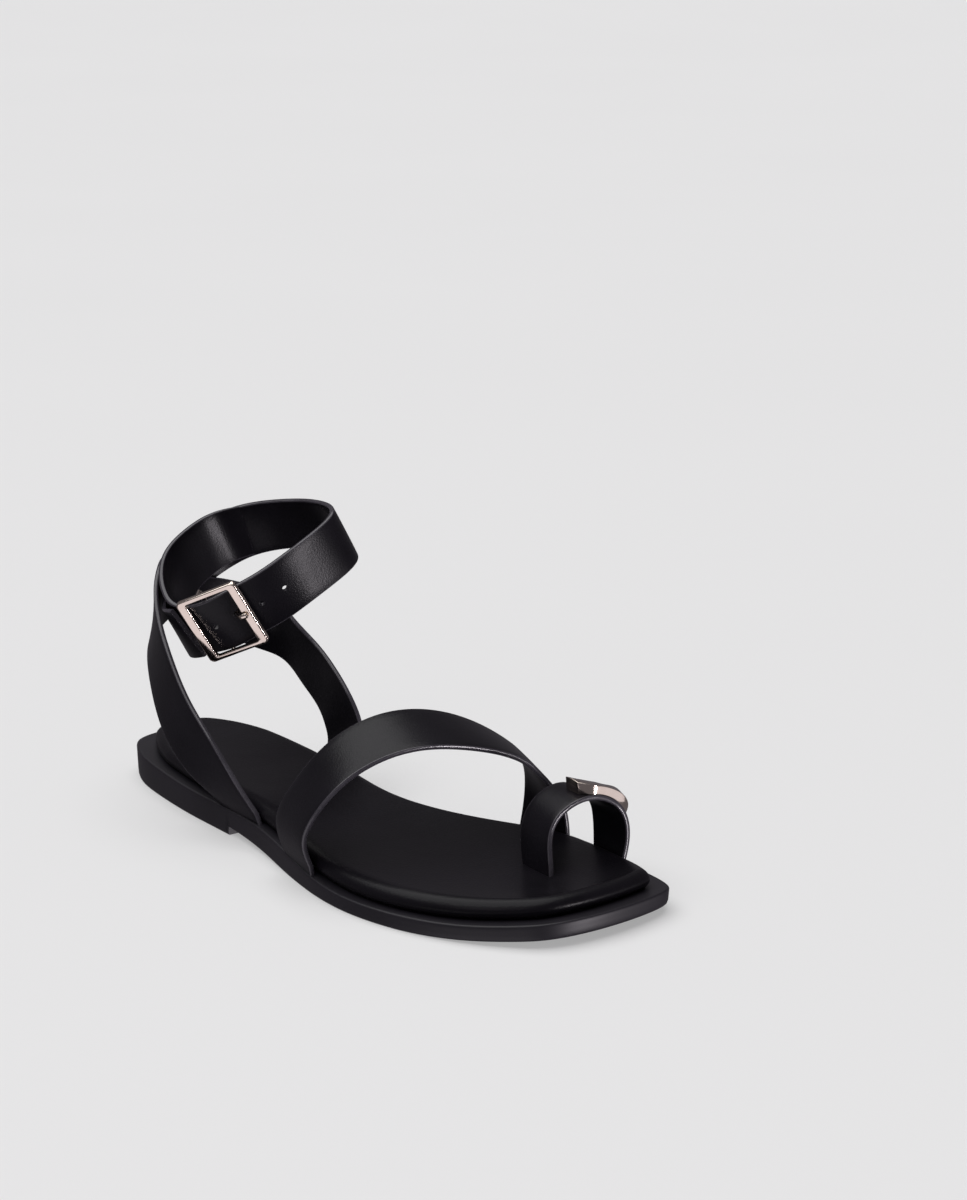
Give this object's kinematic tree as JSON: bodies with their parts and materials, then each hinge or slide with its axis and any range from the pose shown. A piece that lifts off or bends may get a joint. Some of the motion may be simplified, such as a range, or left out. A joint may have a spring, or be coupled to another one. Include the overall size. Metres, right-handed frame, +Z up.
{
  "type": "toe loop sandal",
  "caption": "Flat right-foot sandal: padded footbed on a rubber outsole, toe loop, instep strap and crossed ankle straps with a buckle.",
  "frame": {"origin": "on the floor, under the middle of the sole's length and width", "axes": "+X towards the toe, -Y the lateral side, +Y the medial side, +Z up"},
  "size_m": [0.258, 0.0986, 0.1135],
  "materials": {
    "outsole": "satin black",
    "footbed": "smooth black",
    "strap": "smooth black, semi-gloss",
    "metal": "polished, warm silver"
  },
  "bodies": {
    "root": {"outsole": "outsole", "footbed": "footbed", "wrap_strap": "strap", "buckle_strap": "strap", "instep_strap": "strap", "toe_loop": "strap", "toe_ornament": "metal", "buckle_frame": "metal", "buckle_prong": "metal"}
  },
  "joints": []
}
